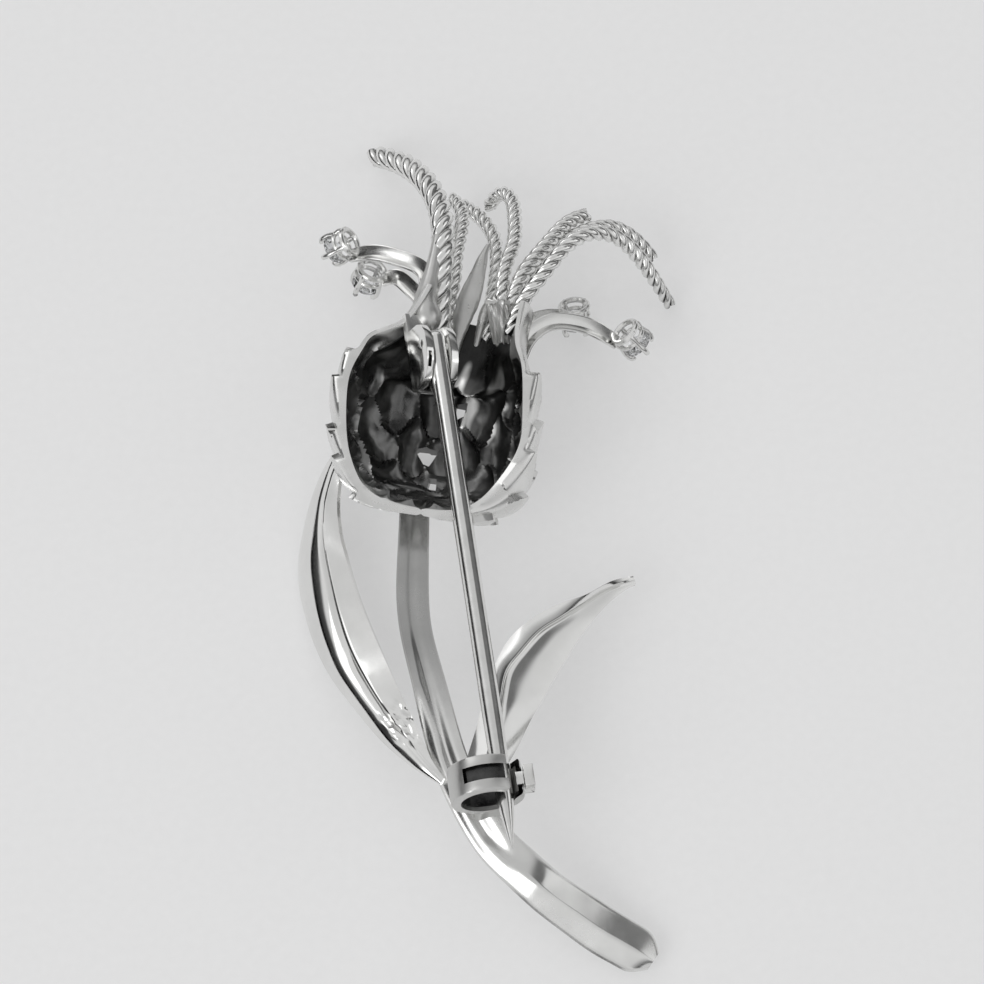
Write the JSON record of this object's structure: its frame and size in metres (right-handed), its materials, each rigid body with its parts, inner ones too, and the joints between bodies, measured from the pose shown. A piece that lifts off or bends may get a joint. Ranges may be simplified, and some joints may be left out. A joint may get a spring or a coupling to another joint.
{
  "type": "thistle brooch",
  "caption": "White metal thistle brooch lying on its face, with a hollow scaled head, twisted wire bristles, two folded leaves, a hinged pin and a turning safety catch.",
  "frame": {"origin": "centre of the bounding box, on the surface that the brooch lies on", "axes": "+Z out of the back of the brooch, +Y from the stem towards the bristles, +X to the right seen from the back"},
  "size_m": [0.0255, 0.0597, 0.0118],
  "materials": {
    "white_metal": "polished white gold, bright with fine handling marks",
    "dark_bowl_metal": "polished outside, dull and darkened inside",
    "pin_metal": "drawn white metal wire, lightly polished",
    "clear_stone": "clear faceted stone"
  },
  "bodies": {
    "brooch": {"bristle_behind": "white_metal", "bristle_far_left": "white_metal", "bristle_far_right": "white_metal", "bristle_hook": "white_metal", "bristle_low_mid": "white_metal", "bristle_mid_left": "white_metal", "bristle_mid_right": "white_metal", "calyx": "dark_bowl_metal", "catch_housing": "white_metal", "hinge_rivet": "pin_metal", "leaf_left": "white_metal", "leaf_right": "white_metal", "stamen_left_back": "white_metal", "stamen_left_front": "white_metal", "stamen_right_back": "white_metal", "stamen_right_front": "white_metal", "stem": "white_metal", "stone_left_back": "clear_stone", "stone_left_front": "clear_stone", "stone_right_back": "clear_stone", "stone_right_front": "clear_stone", "tongue_left": "white_metal", "tongue_right": "white_metal"},
    "pin": {"pin_stem": "pin_metal"},
    "roller": {"catch_roller": "white_metal"}
  },
  "joints": [
    {"name": "pin_swing", "type": "hinge", "parent": "brooch", "child": "pin", "pos_m": [-0.00351, 0.01107, 0.00945], "axis": [-0.8574, -0.122, 0.5], "range_deg": [0, 75]},
    {"name": "roller_turn", "type": "hinge", "parent": "brooch", "child": "roller", "pos_m": [-0.00022, -0.01972, 0.00945], "axis": [0.1409, -0.99, 0], "range_deg": [0, 115]}
  ]
}
